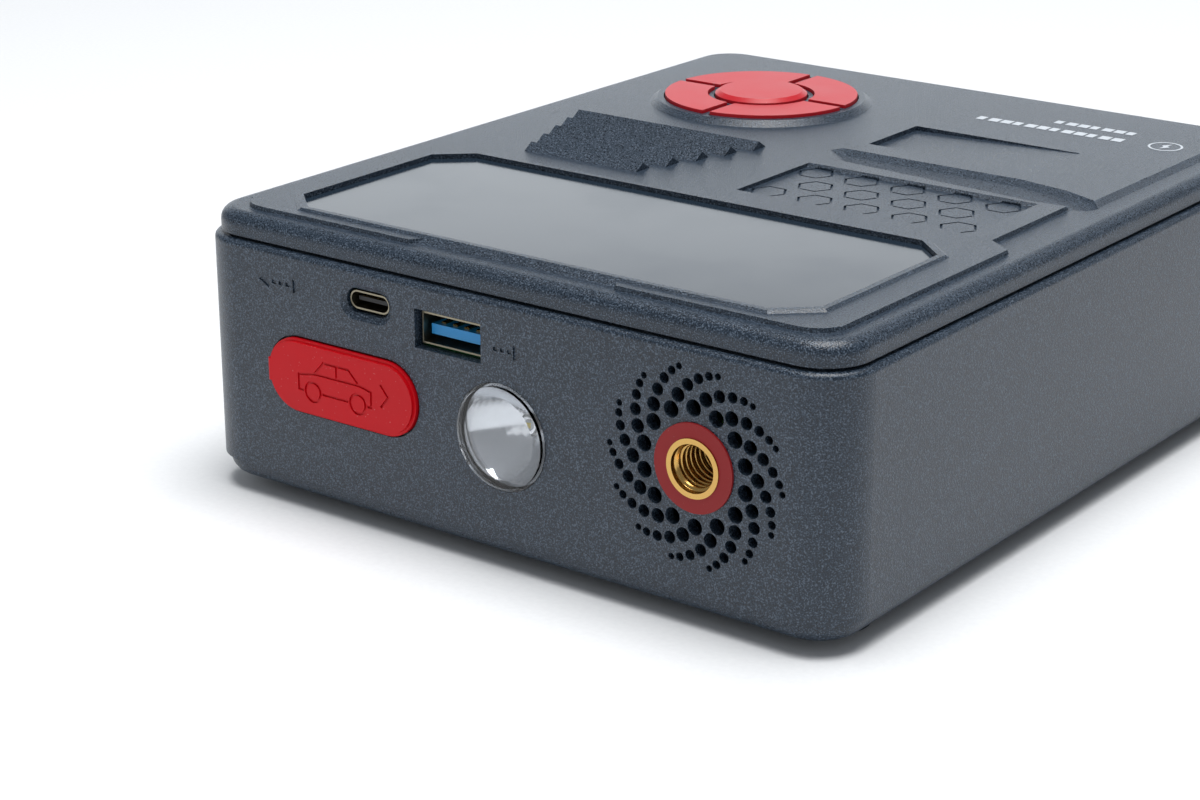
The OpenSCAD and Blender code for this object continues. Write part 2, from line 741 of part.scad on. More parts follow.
bms_y = pack_y - cell_l / 2 - 2.6;
module jump_lead(x, to_x, to_z) {
    wire(route([x, jump_y1 + 2, flap_z], [0, 3, 0], [to_x, bms_y, to_z], [0, 2, 0], 8), 1.9, 10, [0, 0, 1]);
}
module jump_lead_red() { color("#b01c22") jump_lead(jump_x[0], jump_x[0] - 3, flap_z - 4); }
module jump_lead_black() { color("#1a1a1c") jump_lead(jump_x[1], jump_x[1] - 3, flap_z - 4); }

module usb_c_shell() {
    color(steel) {
        on_front(usb_c_x, usb_c_z, front + 1.2, 9) difference() {
            pill(8.9, 3.3);
            pill(8.3, 2.7);
        }
        on_front(usb_c_x, usb_c_z, front + 9.2, 1) pill(8.9, 3.3);
    }
    color("#1c1d20") block(usb_c_x - 4, usb_c_x + 4, main_y0 + 1, front + 10.2, main_z1, usb_c_z - 1.6);
}

module usb_c_tongue() {
    color("#101113") on_front(usb_c_x, usb_c_z, front + 2.2, 7) square([6.7, 0.7], center = true);
}

module usb_a_shell() {
    color(steel) {
        on_front(usb_a_x, usb_a_z, front + 1.4, 14) difference() {
            square([13.2, 5.6], center = true);
            square([12.6, 5], center = true);
        }
        on_front(usb_a_x, usb_a_z, front + 14.4, 1) square([13.2, 5.6], center = true);
    }
}

module usb_a_tongue() {
    color("#1c78c8") on_front(usb_a_x, usb_a_z - 0.4, front + 2.6, 11.8) square([11.1, 1.8], center = true);
}

module usb_a_contacts() {
    color(brass) for (i = [-1.5:1:1.5])
        block(usb_a_x + i * 2.5 - 0.5, usb_a_x + i * 2.5 + 0.5, front + 3.6, front + 11.6,
            usb_a_z + 0.5, usb_a_z + 0.75);
}

module main_board() {
    color(board_green) difference() {
        block(main_x0, main_x1, main_y0, main_y1, main_z1 - main_t, main_z1);
        main_posts() cylinder(h = seam_z, r = 1.2);
    }
}

module board_chips() {
    color("#1b1c1e") {
        for (x = [usb_a_x + 12, usb_a_x + 17])
            block(x, x + 3.5, main_y0 + 3, main_y0 + 10, main_z1, main_z1 + 1.6);
        block(main_x0 + 8, main_x0 + 15, main_y1 - 12, main_y1 - 5, main_z1, main_z1 + 1.4);
        block(usb_a_x - 3, usb_a_x + 6, main_y1 - 9, main_y1 - 1, main_z1, main_z1 + 3.4);
    }
}

module board_screws() {
    color(steel) main_posts() {
        translate([0, 0, main_z1 - main_t - 5]) cylinder(h = main_t + 5, r = 1);
        translate([0, 0, main_z1]) cylinder(h = 1.3, r = 1.9);
    }
}

// Torch -------------------------------------------------------------------
lens_out = 0.7;
cup_depth = 6;

// Turns an outline of radius and depth about the torch's axis
module torch_turn() {
    translate([lens_x, front, lens_z]) rotate([-90, 0, 0]) rotate_extrude() children();
}

module torch_lens() {
    color([0.85, 0.87, 0.9, 0.5]) torch_turn() {
        square([lens_r, 1.4]);
        translate([0, -lens_out]) square([lens_r - 0.5, lens_out + 0.5]);
        translate([0, 1.3]) square([lens_r - 0.1, wall - 0.3]);
        translate([0, wall]) square([lens_r + 0.8, 1.4]);
        intersection() {
            translate([0, 28.4]) circle(30, $fn = 180);
            translate([0, -1.7]) square([lens_r - 1.4, 1.5]);
        }
    }
}

// The mirror's parabola: depth falls with the square of radius
module torch_reflector() {
    mouth = lens_r - 0.4;
    hole = 2;
    steps = 12;
    inner = [for (i = [0:steps]) let (r = hole + (mouth - hole) * i / steps)
        [r, wall + 1.4 + cup_depth * (1 - (r * r - hole * hole) / (mouth * mouth - hole * hole))]];
    outer = [for (i = [steps:-1:0]) inner[i] + [0.9, 0.5]];
    color("#d5d8dc") torch_turn() {
        polygon(concat(inner, outer));
        translate([mouth, wall + 1.4]) square([1.6, 1.2]);
    }
}

module torch_led() {
    y0 = wall + 1.4 + cup_depth + 0.5;
    torch_turn() {
        color("#e8e9ea") translate([0, y0]) square([6.5, 1.6]);
        color("#e6c84a") translate([0, y0 - 0.9]) square([1.6, 1]);
    }
}

// Air outlet --------------------------------------------------------------
module outlet_ring() {
    color("#8f1f26") difference() {
        y_rod(outlet_x, front - 0.4, front + wall, outlet_z, ring_r);
        y_rod(outlet_x, front - 1, front + wall + 1, outlet_z, fitting_r + fit);
    }
}

barb_y = front + thread_l + 2.5;
barb_l = 7;

module outlet_fitting() {
    color(brass) difference() {
        union() {
            y_rod(outlet_x, front - 0.6, barb_y, outlet_z, fitting_r);
            y_rod(outlet_x, front + wall, front + wall + 2, outlet_z, ring_r + 1);
            y_rod(outlet_x, barb_y - 0.5, barb_y + barb_l, outlet_z, 2.6);
        }
        y_rod(outlet_x, front - 1, front - 0.6 + thread_l, outlet_z, thread_r);
        y_rod(outlet_x, front, barb_y + barb_l + 1, outlet_z, 1.5);
    }
}

module air_hose() {
    a = [outlet_x, barb_y + barb_l, outlet_z];
    b = [cyl_x, head_y0 - nipple_l, crank_z];
    grip = 5;
    color("#26282b") {
        wire(route(a, [0, 7, 0], b, [0, 7, 0], 10), 3.6, 12, [0, 0, 1]);
        difference() {
            union() {
                y_rod(a[0], a[1] - grip, a[1] + 0.3, a[2], 3.9);
                y_rod(b[0], b[1] - 0.3, b[1] + grip, b[2], 3.9);
            }
            y_rod(a[0], a[1] - grip - 1, a[1], a[2], 2.6 + fit);
            y_rod(b[0], b[1], b[1] + grip + 1, b[2], 2.6 + fit);
        }
    }
}

// Compressor --------------------------------------------------------------
head_bolts = [for (a = [45:90:315]) [cos(a) * (cyl_r + 1.6), sin(a) * (cyl_r + 1.6)]];

module compressor_frame() {
    back = foot_tabs[1] + 5;
    color("#8d9197") difference() {
        union() {
            block(plate_x0, plate_x1, cyl_y0, back, floor_z + bush_h, crank_z + 16);
            block(plate_x0, cyl_x - 6, cyl_y0, cyl_y1, crank_z - 8, crank_z + 8);
            y_rod(cyl_x, cyl_y0, cyl_y1, crank_z, cyl_r);
            for (b = head_bolts) y_rod(cyl_x + b[0], cyl_y0, cyl_y0 + 8, crank_z + b[1], 2.6);
            for (y = foot_tabs)
                block(plate_x0 - 13, plate_x1 + 15, y - 5, y + 5, floor_z + bush_h, floor_z + bush_h + tab_t);
        }
        y_rod(cyl_x, cyl_y0 - 1, cyl_y1 + 1, crank_z, bore_r);
        for (b = head_bolts) y_rod(cyl_x + b[0], cyl_y0 - 1, cyl_y0 + 6, crank_z + b[1], 1.25 + fit);
        x_rod(plate_x0 - 1, plate_x1 + 1, crank_y, crank_z, axle_r + fit);
        x_rod(plate_x0 - 1, plate_x1 + 1, motor_y, motor_z, 6);
        frame_feet() cylinder(h = seam_z, r = screw_r + 0.15);
    }
}

module frame_bushes() {
    color("#222326") frame_feet() translate([0, 0, floor_z + 0.5]) difference() {
        cylinder(h = bush_h - 0.5, r = 4);
        translate([0, 0, -1]) cylinder(h = bush_h + 2, r = screw_r + 0.1);
    }
}

module frame_screws() {
    color(steel) frame_feet() {
        translate([0, 0, foot_h + 1]) cylinder(h = floor_z + bush_h + tab_t - foot_h - 1, r = screw_r);
        translate([0, 0, floor_z + bush_h + tab_t]) cylinder(h = 1.8, r = 2.8);
    }
}

module cylinder_head() {
    color("#8d9197") difference() {
        union() {
            y_rod(cyl_x, head_y0, cyl_y0, crank_z, cyl_r);
            for (b = head_bolts) y_rod(cyl_x + b[0], head_y0 + 2, cyl_y0, crank_z + b[1], 2.6);
            y_rod(cyl_x, head_y0 - nipple_l, head_y0 + 1, crank_z, 2.6);
            z_rod(cyl_x, sensor_y, crank_z, sensor_z, 3);
        }
        y_rod(cyl_x, head_y0 - nipple_l - 1, cyl_y0 + 1, crank_z, 1.4);
        z_rod(cyl_x, sensor_y, crank_z, sensor_z + 1, 0.8);
        y_rod(cyl_x, cyl_y0 - 3, cyl_y0 + 1, crank_z, bore_r - 2.5);
        for (b = head_bolts) y_rod(cyl_x + b[0], head_y0, cyl_y0 + 1, crank_z + b[1], 1.4);
        for (b = head_bolts) y_rod(cyl_x + b[0], head_y0 - 1, head_y0 + 2, crank_z + b[1], 2.6);
    }
}

module head_screws() {
    color(steel) for (b = head_bolts) {
        y_rod(cyl_x + b[0], head_y0 + 2, cyl_y0 + 5, crank_z + b[1], 1.25);
        y_rod(cyl_x + b[0], head_y0 + 0.4, head_y0 + 2, crank_z + b[1], 2.3);
    }
}

module pressure_sensor() {
    color("#2b2d30") z_rod(cyl_x, sensor_y, sensor_z, sensor_z + 4, 2.6);
}

module motor_can() {
    color("#9fa4aa") difference() {
        union() {
            x_rod(plate_x0 - motor_l, plate_x0, motor_y, motor_z, motor_r);
            x_rod(plate_x0 - 1, plate_x1, motor_y, motor_z, 5.9);
        }
        x_rod(plate_x0 - motor_l - 1, plate_x0 - 2, motor_y, motor_z, motor_r - 1.2);
        x_rod(plate_x0 - 3, plate_x1 + 1, motor_y, motor_z, 1.6 + fit);
    }
}

module motor_endcap() {
    color("#1f2124") difference() {
        union() {
            x_rod(plate_x0 - motor_l, plate_x0 - motor_l + 2, motor_y, motor_z, motor_r - 1.2 - fit);
            x_rod(plate_x0 - motor_l - 2, plate_x0 - motor_l, motor_y, motor_z, 5);
        }
        x_rod(plate_x0 - motor_l - 1, plate_x0, motor_y, motor_z, 1.6 + fit);
    }
}

module motor_pinion() {
    color(steel) {
        x_rod(plate_x0 - motor_l, gear_x0 + gear_t + 0.5, motor_y, motor_z, 1.6);
        x_rod(plate_x0 - motor_l + 5, plate_x0 - 5, motor_y, motor_z, motor_r - 3.2);
        translate([gear_x0 - 0.5, motor_y, motor_z]) rotate([0, 90, 0]) rotate([0, 0, 270 + mesh_angle])
            rotate(180 / pinion_teeth) linear_extrude(gear_t + 1) polygon(gear_outline(pinion_teeth, tooth_m));
    }
}

module motor_leads() {
    color("#a22a2a") for (i = [-1, 1])
        wire(route([plate_x0 - motor_l - 4.4 + 1.7 * i, main_y1 - 3, main_z1 - main_t], [0, 0, -14],
            [plate_x0 - motor_l, motor_y + i * 9, motor_z - 8], [7, 0, 0], 12), 0.9, 8, [1, -1, 1]);
}

module crank_gear() {
    color("#d8d4c4") difference() {
        union() {
            translate([gear_x0, crank_y, crank_z]) rotate([0, 90, 0]) rotate([0, 0, 90 + mesh_angle])
                linear_extrude(gear_t) polygon(gear_outline(gear_teeth, tooth_m));
            x_rod(gear_x0 - 0.9, gear_x0 + 1, crank_y, crank_z, 4.5);
            x_rod(gear_x0 + gear_t - 1, cyl_x - rod_w / 2 - clear, crank_pin_y, crank_z, 4);
        }
        x_rod(gear_x0 - 2, gear_x0 + gear_t + 1, crank_y, crank_z, axle_r + 0.03);
        for (a = [60, 180, 300])
            x_rod(gear_x0 - 1, gear_x0 + gear_t + 3, crank_y - 11 * cos(a), crank_z + 11 * sin(a), 3.2);
    }
}

module gear_axle() {
    color(steel) {
        x_rod(plate_x0 - 0.8, gear_x0 + gear_t + 1.2, crank_y, crank_z, axle_r);
        x_rod(plate_x0 - 1.8, plate_x0, crank_y, crank_z, axle_r + (gear_dist - motor_r - axle_r) * 0.32);
    }
}

module con_rod() {
    x0 = cyl_x - rod_w / 2;
    x1 = cyl_x + rod_w / 2;
    color("#b0b4b9") difference() {
        union() {
            x_rod(x0, x1, crank_pin_y, crank_z, 4.6);
            x_rod(x0, x1, wrist_y, crank_z, 3.6);
            block(x0 + 0.6, x1 - 0.6, wrist_y, crank_pin_y, crank_z - 2.4, crank_z + 2.4);
        }
        x_rod(x0 - 1, x1 + 1, crank_pin_y, crank_z, pin_r + 0.03);
        x_rod(x0 - 1, x1 + 1, wrist_y, crank_z, 2 + 0.03);
    }
}

module crank_pin() {
    color(steel) x_rod(cyl_x - rod_w / 2, cyl_x + rod_w / 2 + 0.4, crank_pin_y, crank_z, pin_r);
}

module wrist_pin() {
    color(steel) x_rod(cyl_x - bore_r + 1.6, cyl_x + bore_r - 1.6, wrist_y, crank_z, 2);
}

module piston() {
    color("#c9cccf") difference() {
        union() {
            y_rod(cyl_x, crown_y, crown_y + 1, crank_z, bore_r - 0.35);
            y_rod(cyl_x, crown_y, crown_y + 3, crank_z, bore_r - 1.5);
            y_rod(cyl_x, crown_y + 2.2, wrist_y + 4, crank_z, bore_r - 0.35);
        }
        block(cyl_x - rod_w / 2 - 0.5, cyl_x + rod_w / 2 + 0.5, wrist_y - 4, wrist_y + 5,
            crank_z - bore_r, crank_z + bore_r);
        x_rod(cyl_x - bore_r - 1, cyl_x + bore_r + 1, wrist_y, crank_z, 2 + fit);
    }
}

module piston_seal() {
    color("#17181a") difference() {
        y_rod(cyl_x, crown_y + 1.05, crown_y + 2.15, crank_z, bore_r - 0.05);
        y_rod(cyl_x, crown_y, crown_y + 3, crank_z, bore_r - 1.5);
    }
}

// Battery -----------------------------------------------------------------
module battery_cell(i) {
    z = pack_z + i * (cell_t + cell_gap);
    color("#7d8791")
        block(pack_x - cell_w / 2, pack_x + cell_w / 2,
            pack_y - cell_l / 2, pack_y + cell_l / 2, z, z + cell_t);
    color(steel) for (x = [-9, 9])
        block(pack_x + x - 3, pack_x + x + 3, bms_y + 1.4, pack_y - cell_l / 2,
            z + cell_t / 2 - 0.2, z + cell_t / 2 + 0.2);
}
module battery_cell_1() { battery_cell(0); }
module battery_cell_2() { battery_cell(1); }
module battery_cell_3() { battery_cell(2); }

module battery_tray() {
    x0 = pack_x - cell_w / 2 - 0.3;
    x1 = pack_x + cell_w / 2 + 0.3;
    y0 = bms_y - 1;
    y1 = pack_y + cell_l / 2 + 0.3;
    color("#2c2f33") difference() {
        block(x0 - tray_t, x1 + tray_t, y0, y1 + tray_t, floor_z, pack_z + 14);
        block(x0, x1, y0 - 1, y1, pack_z, seam_z);
    }
}

module battery_pads() {
    color("#3a3d42") for (i = [1:3])
        block(pack_x - cell_w / 2 + 3, pack_x + cell_w / 2 - 3,
            pack_y - cell_l / 2 + 6, pack_y + cell_l / 2 - 6,
            pack_z + i * cell_t + (i - 1) * cell_gap, pack_z + i * (cell_t + cell_gap));
}

module bms_board() {
    color(board_green) block(pack_x - cell_w / 2, pack_x + cell_w / 2, bms_y, bms_y + 1.4,
        pack_z, pack_z + 3 * cell_t + 2 * cell_gap);
}

case_body();
top_cover();
base_cover();
rubber_feet();
case_screws();
display_window();
display_module();
display_ribbon();
control_board();
control_screws();
key_mat();
key_power();
key_front_left();
key_front_right();
key_back_right();
key_back_left();
port_cover();
cover_anchor();
jump_socket();
jump_contacts();
jump_lead_red();
jump_lead_black();
usb_c_shell();
usb_c_tongue();
usb_a_shell();
usb_a_tongue();
usb_a_contacts();
main_board();
board_chips();
board_screws();
torch_lens();
torch_reflector();
torch_led();
outlet_ring();
outlet_fitting();
air_hose();
cylinder_head();
head_screws();
pressure_sensor();
compressor_frame();
frame_bushes();
frame_screws();
motor_can();
motor_endcap();
motor_pinion();
motor_leads();
crank_gear();
gear_axle();
con_rod();
crank_pin();
wrist_pin();
piston();
piston_seal();
battery_cell_1();
battery_cell_2();
battery_cell_3();
battery_tray();
battery_pads();
bms_board();
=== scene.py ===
import json, math
import bpy
import numpy as np
from mathutils import Matrix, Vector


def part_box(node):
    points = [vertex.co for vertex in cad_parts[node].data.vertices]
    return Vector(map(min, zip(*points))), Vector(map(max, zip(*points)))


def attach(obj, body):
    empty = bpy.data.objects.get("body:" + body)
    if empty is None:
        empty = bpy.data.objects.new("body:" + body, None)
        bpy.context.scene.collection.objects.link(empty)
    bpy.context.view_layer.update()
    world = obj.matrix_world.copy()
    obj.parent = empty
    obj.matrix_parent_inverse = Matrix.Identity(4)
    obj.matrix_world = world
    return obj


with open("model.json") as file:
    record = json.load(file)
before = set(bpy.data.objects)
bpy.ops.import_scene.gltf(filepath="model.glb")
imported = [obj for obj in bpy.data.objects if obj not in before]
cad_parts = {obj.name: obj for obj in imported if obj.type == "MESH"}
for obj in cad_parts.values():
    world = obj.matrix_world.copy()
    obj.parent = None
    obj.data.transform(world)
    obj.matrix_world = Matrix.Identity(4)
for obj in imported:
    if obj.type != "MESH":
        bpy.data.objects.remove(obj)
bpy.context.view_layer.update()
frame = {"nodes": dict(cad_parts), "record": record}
nodes = frame["nodes"]
mm = 0.001


class Wire:
    # a node socket that does arithmetic
    def __init__(self, tree, socket):
        self.tree, self.socket = tree, socket

    def node(self, kind, sockets, out=0, **props):
        made = self.tree.nodes.new(kind)
        for key, value in props.items():
            setattr(made, key, value)
        for key, value in sockets.items():
            if isinstance(value, Wire):
                self.tree.links.new(value.socket, made.inputs[key])
            else:
                made.inputs[key].default_value = value
        return Wire(self.tree, made.outputs[out])

    def maths(self, op, a, b):
        return self.node("ShaderNodeMath", {0: a, 1: b}, operation=op)

    def __add__(self, other):
        return self.maths("ADD", self, other)

    def __radd__(self, other):
        return self.maths("ADD", other, self)

    def __sub__(self, other):
        return self.maths("SUBTRACT", self, other)

    def __rsub__(self, other):
        return self.maths("SUBTRACT", other, self)

    def __mul__(self, other):
        return self.maths("MULTIPLY", self, other)

    def __rmul__(self, other):
        return self.maths("MULTIPLY", other, self)

    def step(self, low, high):
        # 0 below low, 1 above high, smooth between
        return self.node("ShaderNodeMapRange", {"Value": self, "From Min": low, "From Max": high},
                         interpolation_type="SMOOTHSTEP")

    def noise(self, scale, detail=2.0, rough=0.5):
        return self.node("ShaderNodeTexNoise",
                         {"Vector": self, "Scale": scale, "Detail": detail, "Roughness": rough})

    def stretch(self, scale):
        return self.node("ShaderNodeMapping", {"Vector": self, "Scale": scale})

    def axis(self, i):
        return self.node("ShaderNodeSeparateXYZ", {"Vector": self}, i)

    def zigzag(self, height):
        # rises and falls between 0 and height
        return self.maths("PINGPONG", self, height)

    def blend(self, dark, light):
        # self picks between two colours
        def colour(c):
            return c if isinstance(c, Wire) else (*c, 1.0)
        return self.node("ShaderNodeMix", {0: self, 6: colour(dark), 7: colour(light)}, 2, data_type="RGBA")

    def bump(self, height):
        return self.node("ShaderNodeBump", {"Height": self, "Distance": height * mm, "Strength": 1.0})


def material(name, make, fixed):
    # make gives what varies over the surface, fixed what doesn't
    mat = bpy.data.materials.new(name)
    mat.use_nodes = True
    tree = mat.node_tree
    tree.nodes.clear()
    out = tree.nodes.new("ShaderNodeOutputMaterial")
    shader = tree.nodes.new("ShaderNodeBsdfPrincipled")
    tree.links.new(shader.outputs[0], out.inputs[0])
    where = tree.nodes.new("ShaderNodeTexCoord").outputs["Object"]
    for key, value in fixed.items():
        shader.inputs[key].default_value = value
    for key, value in make(Wire(tree, where)).items():
        tree.links.new(value.socket, shader.inputs[key])
    return mat


def rgb(r, g, b):
    # sRGB 0..255 to linear
    return tuple(((v / 255 + 0.055) / 1.055) ** 2.4 if v > 10 else v / 255 / 12.92 for v in (r, g, b))


def scaled(colour, k):
    return tuple(min(1.0, c * k) for c in colour)


def between(wire, ends):
    # a 0..1 wire spread over a range
    return wire * (ends[1] - ends[0]) + ends[0]


# Materials: noise scales are per metre, bump depths in millimetres

def grained(colour, painted_glint, rough=(0.26, 0.42), grain=3800, depth=0.03):
    # moulded plastic with a fine even eroded grain, with painted glints making the tops pale and painted
    # shade making the pits dark
    def make(p):
        fine = p.noise(grain, 1.0).step(0.28, 0.72)
        broad = p.noise(55, 3.0)
        # painted shade and painted light: the grain that raises the bump also darkens the colour in its
        # pits and lightens it on its tops
        base = (fine * 0.75 + broad * 0.25).blend(scaled(colour, 0.3), scaled(colour, 1.7))
        # painted glints: a pale colour laid on the highest grain tops
        return {"Base Color": (fine.step(0.7, 1.0) * 0.5).blend(base, painted_glint),
                "Roughness": between(fine, rough), "Normal": fine.bump(depth)}
    return make


def moulded(colour, rough=(0.4, 0.5), grain=1500, depth=0.01, dust=0.0):
    # smooth moulding: faint flow tone, fine orange peel, a few dust specks
    def make(p):
        flow = p.noise(70, 3.0)
        speck = p.noise(2600, 0.0).step(0.80, 0.86) * dust
        base = flow.blend(scaled(colour, 0.92), scaled(colour, 1.08))
        return {"Base Color": speck.blend(base, (0.62, 0.55, 0.54)),
                "Roughness": between(flow, rough), "Normal": p.noise(grain).bump(depth)}
    return make


def metal(colour, rough=(0.22, 0.36), brush=(1, 1, 1), scale=900, depth=0.01):
    # drawn or turned metal: fine lines across the long direction of brush
    def make(p):
        lines = p.stretch(brush).noise(scale, 3.0, 0.6)
        stain = p.noise(90, 3.0)
        return {"Base Color": stain.blend(scaled(colour, 0.86), scaled(colour, 1.08)),
                "Roughness": between(lines, rough), "Normal": lines.bump(depth)}
    return make


def laminate(mask, track):
    # circuit board: solder mask over copper tracks on a grid
    def make(p):
        lanes = p.node("ShaderNodeTexBrick",
                       {"Vector": p, "Scale": 140.0, "Mortar Size": 0.035, "Mortar Smooth": 0.2}, 1)
        weave = p.noise(2500, 1.0)
        base = weave.blend(scaled(mask, 0.85), scaled(mask, 1.15))
        return {"Base Color": lanes.blend(base, track), "Roughness": between(weave, (0.3, 0.45)),
                "Normal": (lanes * 0.8 + weave * 0.2).bump(0.03)}
    return make


def foil(colour, label):
    # pouch cell: crinkled foil with a printed band every 80 mm
    def make(p):
        crease = p.noise(160, 5.0, 0.6)
        band = p.axis(1).zigzag(0.04).step(0.018, 0.0185)
        return {"Base Color": band.blend(colour, label), "Roughness": between(crease, (0.25, 0.55)),
                "Metallic": (1.0 - band) * 0.9, "Normal": crease.bump(0.25)}
    return make


def window(colour):
    # hard-coated window: smudges change how sharp its reflection is
    def make(p):
        smudge = p.noise(38, 4.0, 0.6).step(0.45, 0.75)
        return {"Base Color": smudge.blend(colour, scaled(colour, 1.12)),
                "Roughness": between(smudge, (0.15, 0.19)), "Normal": p.noise(24, 1.0).bump(0.012)}
    return make


def clear(p):
    # polished clear moulding with a little haze
    haze = p.noise(420, 3.0).step(0.45, 0.8)
    return {"Roughness": between(haze, (0.01, 0.05)), "Normal": p.noise(120, 1.0).bump(0.002)}


def matte(dark, light, scale, detail, peel, peelDetail, depth):
    # ink or powder: two close tones and a fine tooth
    def make(p):
        return {"Base Color": p.noise(scale, detail).blend(dark, light),
                "Normal": p.noise(peel, peelDetail).bump(depth)}
    return make


looks = {
    "case_plastic": (grained(rgb(32, 45, 59), rgb(112, 124, 138)), {"IOR": 1.5}),
    "black_plastic": (moulded(rgb(20, 20, 22), (0.35, 0.5)), {}),
    "blue_plastic": (moulded(rgb(14, 140, 205), (0.3, 0.42)), {}),
    "red_plastic": (moulded(rgb(184, 24, 36), (0.34, 0.46), dust=0.15),
                    {"Specular IOR Level": 0.42, "Subsurface Weight": 0.15, "Subsurface Scale": 1.0,
                     "Subsurface Radius": (0.002, 0.0006, 0.0006)}),
    "dark_red_plastic": (moulded(rgb(140, 28, 30), (0.45, 0.6), dust=0.15), {"Specular IOR Level": 0.3}),
    "red_rubber": (moulded(rgb(196, 4, 20), (0.4, 0.55), dust=0.2), {"Specular IOR Level": 0.22}),
    "black_rubber": (moulded(rgb(26, 26, 27), (0.6, 0.75), 2600, 0.03), {}),
    "gear_plastic": (moulded(rgb(214, 209, 192), (0.35, 0.45)),
                     {"Subsurface Weight": 0.1, "Subsurface Scale": 0.002}),
    "mirror_plastic": (metal((0.66, 0.68, 0.71), (0.10, 0.18), scale=300, depth=0.002), {"Metallic": 1.0}),
    "clear_lens": (clear, {"Base Color": (0.96, 0.97, 0.98, 1), "Transmission Weight": 1.0, "IOR": 1.46}),
    "smoked_window": (window(rgb(30, 42, 54)), {"IOR": 1.53}),
    "ribbon_film": (moulded(rgb(176, 112, 44), (0.25, 0.35)), {}),
    "board_laminate": (laminate(rgb(20, 96, 56), rgb(60, 140, 84)), {}),
    "cell_foil": (foil(rgb(190, 194, 200), rgb(40, 60, 96)), {}),
    "connector": (metal((0.30, 0.27, 0.20), (0.3, 0.45), (1, 8, 1), 500), {"Metallic": 1.0}),
    "steel": (metal((0.62, 0.63, 0.65), (0.2, 0.34), (1, 12, 1), 500), {"Metallic": 1.0}),
    "aluminium": (metal((0.58, 0.59, 0.6), (0.4, 0.6), (1, 1, 1), 1300, 0.04), {"Metallic": 1.0}),
    "brass": (metal((0.62, 0.38, 0.12), (0.18, 0.32), (1, 30, 1), 260), {"Metallic": 1.0}),
    "phosphor": (matte(rgb(214, 190, 70), rgb(240, 222, 120), 3000, 1.0, 2200, 1.0, 0.01),
                 {"Roughness": 0.5}),
    "white_ink": (matte(rgb(176, 183, 191), rgb(206, 211, 217), 1500, 2.0, 2400, 1.0, 0.006),
                  {"Roughness": 0.5}),
}
mats = {name: material(name, *look) for name, look in looks.items()}

ownLook = {"usb_c_shell": "connector", "usb_a_shell": "connector"}  # duller than their slot
for part in frame["record"]["subparts"]:
    look = mats[ownLook.get(part["node"], part["material_slot"])]
    for place in nodes[part["node"]].material_slots:
        place.material = look
print("materials:", len(mats), "on", len(nodes), "nodes")


# Meshes: points are in millimetres

def mesh(name, points, faces, look, body, smooth=False):
    data = bpy.data.meshes.new(name)
    data.from_pydata((np.asarray(points, float) * mm).tolist(), [], faces)
    data.materials.append(look)
    data.validate()
    data.update()
    data.polygons.foreach_set("use_smooth", [smooth] * len(data.polygons))
    obj = bpy.data.objects.new(name, data)
    bpy.context.scene.collection.objects.link(obj)
    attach(obj, body)
    return obj


def wrapped(rows, cols):
    # faces of a grid whose last column joins the first: corner, next row, both one column on
    i, j = np.mgrid[0:rows - 1, 0:cols]
    on = (j + 1) % cols
    corners = [i * cols + j, (i + 1) * cols + j, (i + 1) * cols + on, i * cols + on]
    return np.stack(corners, -1).reshape(-1, 4).tolist()


def turned(mid, y, r, turn):
    # round about y through mid: x = r cos, z = r sin, with y and r on the same grid
    points = [mid[0] + r * np.cos(turn), y + 0 * turn, mid[2] + r * np.sin(turn)]
    return np.stack(points, -1).reshape(-1, 3)


def boxOf(node):
    low, high = (np.array(c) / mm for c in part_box(node))
    return low, high, (low + high) / 2


def circle(count):
    return np.linspace(0, 2 * np.pi, count, endpoint=False)


# Inside thread of the fitting: r = bore - depth * crest, with crest a flat-topped wave of
# y / pitch - turn / 2 pi that fades out at both ends
thread = {"start": 0.7, "end": 10.5, "pitch": 1.25, "depth": 0.62, "bore": 4.08, "fade": (0.9, 0.6),
          "flank": 2.4, "root": 0.5, "round": 96, "perTurn": 16}
low, high, mid = boxOf("outlet_fitting")
turn = circle(thread["round"])[None, :]
rings = int(thread["end"] / thread["pitch"] * thread["perTurn"])
y = np.linspace(thread["start"], thread["end"], rings)[:, None]
phase = (y / thread["pitch"] - turn / (2 * np.pi)) % 1.0
crest = np.clip(thread["flank"] * (1 - 2 * np.abs(phase - 0.5)) - thread["root"], 0, 1)
fadeIn = np.clip((y - thread["start"]) / thread["fade"][0], 0, 1)
fadeOut = np.clip((thread["end"] - y) / thread["fade"][1], 0, 1)
r = thread["bore"] - thread["depth"] * crest * fadeIn * fadeOut
mesh("fitting_thread", turned(mid, low[1] + y, r, turn), wrapped(*r.shape),
     mats["brass"], "housing", True)
print("thread:", r.size, "points")

# Contact pads above and below the socket's tongue: raised blocks, open on the tongue's side
pads = {"count": 12, "pitch": 0.5, "half": 0.14, "y": (0.5, 4.2), "gap": 0.005, "thick": 0.03}
low, high, mid = boxOf("usb_c_tongue")
dx = np.array([-1, -1, 1, 1, 1, 1, -1, -1]) * pads["half"]
dy = np.repeat([pads["y"][0], pads["y"][1]], 4)
dz = pads["gap"] + np.array([0, 1] * 4) * pads["thick"]
x = mid[0] + (np.arange(pads["count"]) - (pads["count"] - 1) / 2) * pads["pitch"]
block = np.array([[1, 3, 5, 7], [0, 2, 3, 1], [2, 4, 5, 3], [4, 6, 7, 5], [6, 0, 1, 7]])
points, faces = [], []
for base, side in ((low[2], -1), (high[2], 1)):
    points += [(x[i] + dx[k], low[1] + dy[k], base + side * dz[k]) for i in range(len(x)) for k in range(8)]
    sided = block[:, ::side]  # the lower pads are mirrored, so their faces turn round
    first = len(faces) // len(block) * 8 + 8 * np.arange(len(x))
    faces += (first[:, None, None] + sided).reshape(-1, 4).tolist()
mesh("usb_c_pads", points, faces, mats["brass"], "housing")
print("pads:", len(faces) // len(block))

